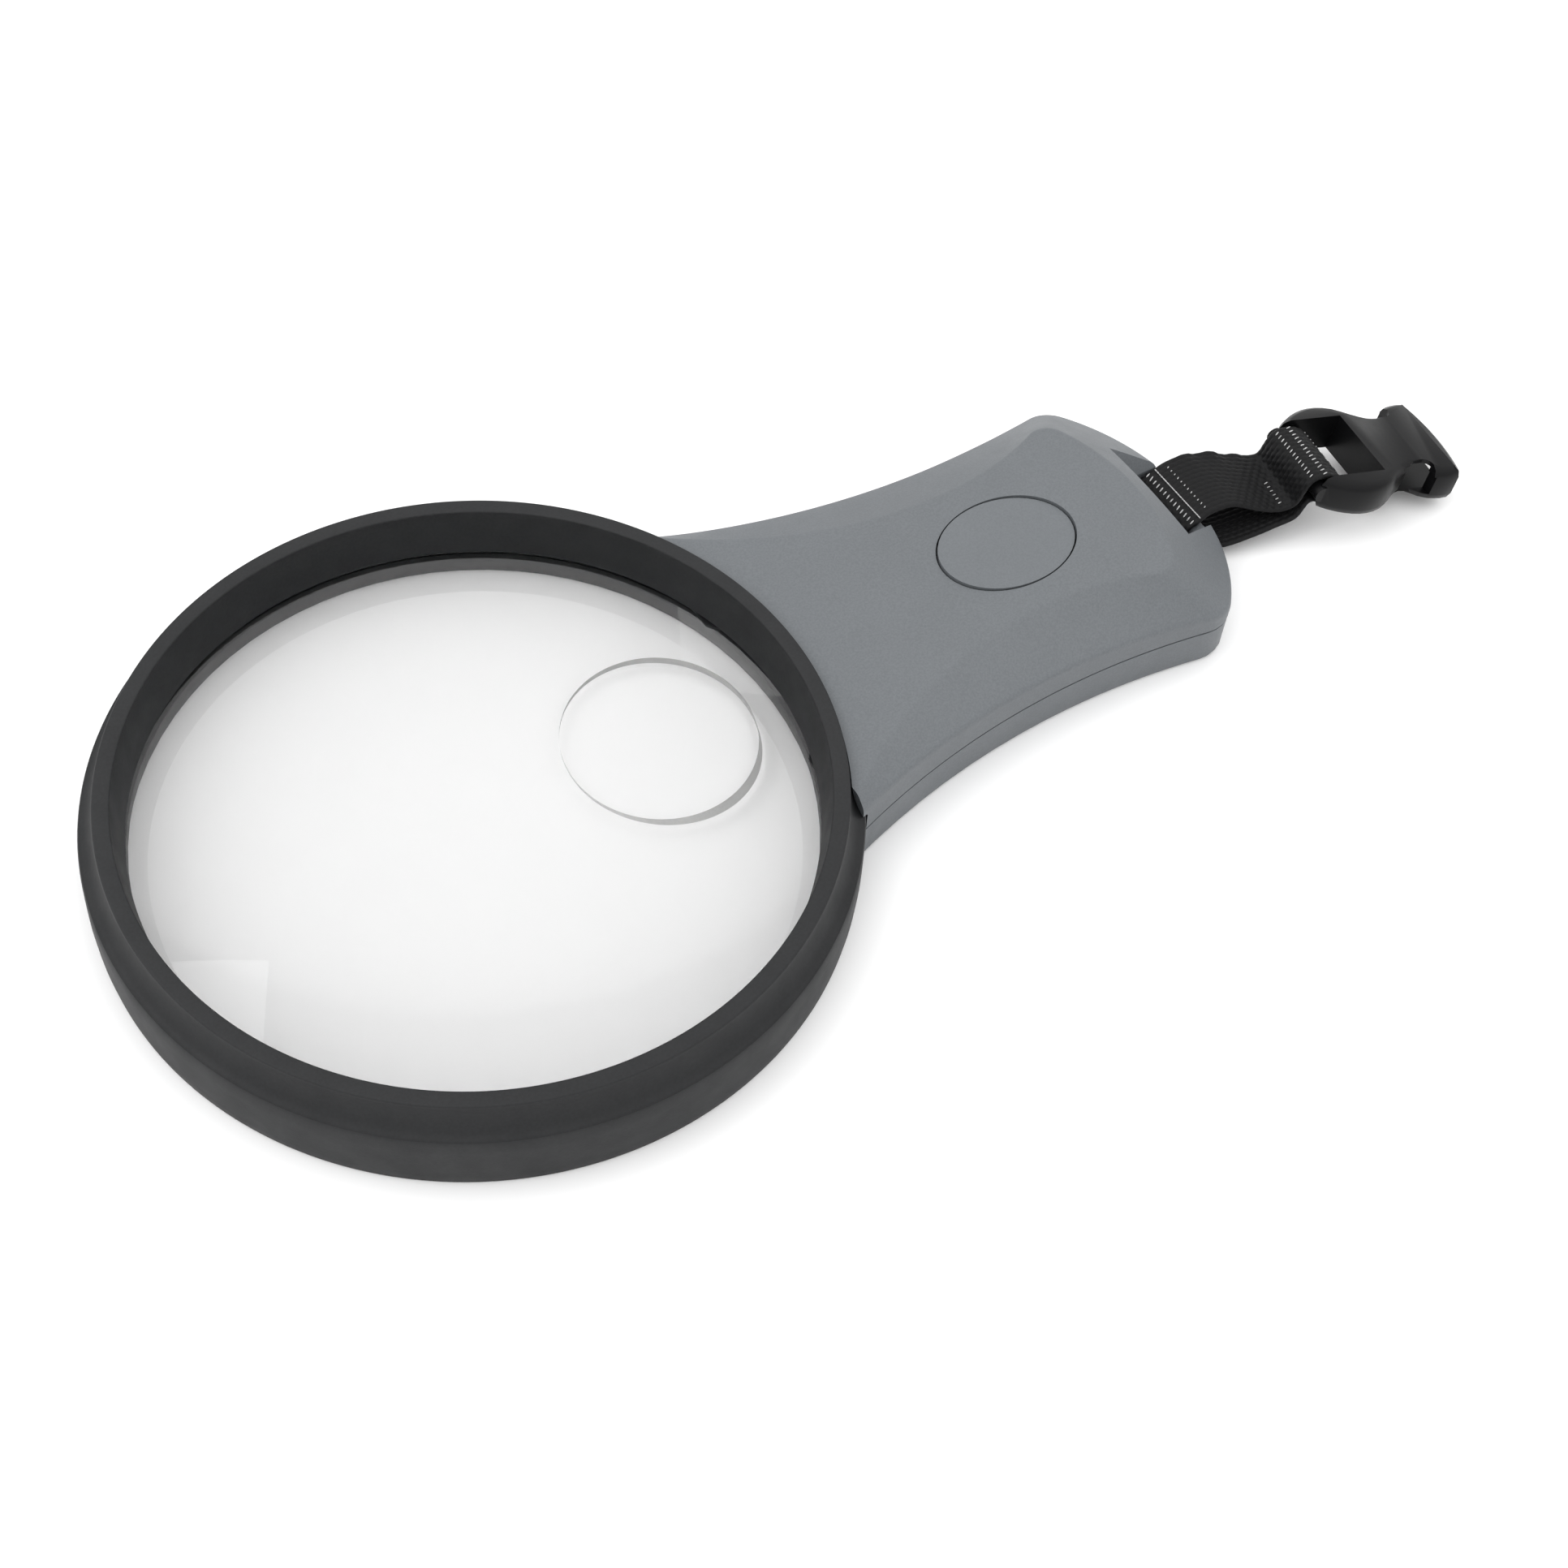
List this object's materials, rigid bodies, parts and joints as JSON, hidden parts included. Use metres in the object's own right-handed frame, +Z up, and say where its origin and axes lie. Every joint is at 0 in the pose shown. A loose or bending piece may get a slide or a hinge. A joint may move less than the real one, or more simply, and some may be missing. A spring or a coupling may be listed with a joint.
{
  "type": "illuminated hand magnifier",
  "caption": "Round hand magnifier with a moulded spot lens, coved ring frame, waisted grey handle with light button, and a short webbing strap with buckle socket.",
  "frame": {"origin": "middle of the bounding box on the plane that the part lies on", "axes": "+X from the lens along the handle to the strap, +Z up through the lens, +Y to the left of the handle"},
  "size_m": [0.2514, 0.1214, 0.0185],
  "materials": {
    "rim": "fine matte texture",
    "main_lens": "clear, polished",
    "lens_retaining_ring": "smooth matte",
    "handle_upper_shell": "fine matte texture",
    "handle_lower_shell": "fine matte texture",
    "light_button": "fine matte texture",
    "battery_door": "fine matte texture",
    "shell_screws": "zinc plated",
    "circuit_board": "solder mask",
    "resistor": "lacquered",
    "board_screws": "zinc plated",
    "switch_body": "moulded",
    "switch_plunger": "moulded",
    "leds": "clear, polished",
    "led_holder": "moulded",
    "led_window": "clear, polished",
    "battery_1": "printed sleeve",
    "battery_2": "printed sleeve",
    "contact_bridge": "nickel plated",
    "terminal_positive": "nickel plated",
    "terminal_negative": "nickel plated",
    "spring_front": "nickel plated",
    "spring_rear": "nickel plated",
    "battery_lead_red": "insulation",
    "battery_lead_black": "insulation",
    "led_lead_red": "insulation",
    "led_lead_black": "insulation",
    "strap_webbing": "ribbed woven webbing",
    "buckle_socket": "satin moulded"
  },
  "bodies": {
    "handle": {"rim": "rim", "main_lens": "main_lens", "lens_retaining_ring": "lens_retaining_ring", "handle_upper_shell": "handle_upper_shell", "handle_lower_shell": "handle_lower_shell", "shell_screw_1": "shell_screws", "shell_screw_2": "shell_screws", "shell_screw_3": "shell_screws", "shell_screw_4": "shell_screws", "circuit_board": "circuit_board", "resistor": "resistor", "board_screw_1": "board_screws", "board_screw_2": "board_screws", "switch_body": "switch_body", "led_1": "leds", "led_2": "leds", "led_holder": "led_holder", "led_window": "led_window", "battery_1": "battery_1", "battery_2": "battery_2", "contact_bridge": "contact_bridge", "terminal_positive": "terminal_positive", "terminal_negative": "terminal_negative", "spring_front": "spring_front", "spring_rear": "spring_rear", "battery_lead_red": "battery_lead_red", "battery_lead_black": "battery_lead_black", "led_lead_red": "led_lead_red", "led_lead_black": "led_lead_black"},
    "button": {"light_button": "light_button"},
    "plunger": {"switch_plunger": "switch_plunger"},
    "door": {"battery_door": "battery_door"},
    "strap": {"strap_webbing": "strap_webbing"},
    "buckle": {"buckle_socket": "buckle_socket"}
  },
  "joints": [
    {"name": "button_press", "type": "slide", "parent": "handle", "child": "button", "axis": [0, 0, -1], "range_m": [0, 0.0008], "stiffness_N_per_m": 800},
    {"name": "plunger_press", "type": "slide", "parent": "handle", "child": "plunger", "axis": [0, 0, -1], "range_m": [0, 0.0008]},
    {"name": "door_hinge", "type": "hinge", "parent": "handle", "child": "door", "pos_m": [0.01304, 0, 0.00025], "axis": [0, 1, 0], "range_deg": [0, 55]},
    {"name": "strap_swing", "type": "hinge", "parent": "handle", "child": "strap", "pos_m": [0.07294, 0, 0.00525], "axis": [0, 1, 0], "range_deg": [-80, 8]},
    {"name": "buckle_swing", "type": "hinge", "parent": "strap", "child": "buckle", "pos_m": [0.09604, -0.0051, 0.0102], "axis": [0.1577, 0.9845, -0.0769], "range_deg": [-80, 80]}
  ],
  "couplings": [
    {"joint": "plunger_press", "follows": "button_press", "ratio": 1}
  ]
}
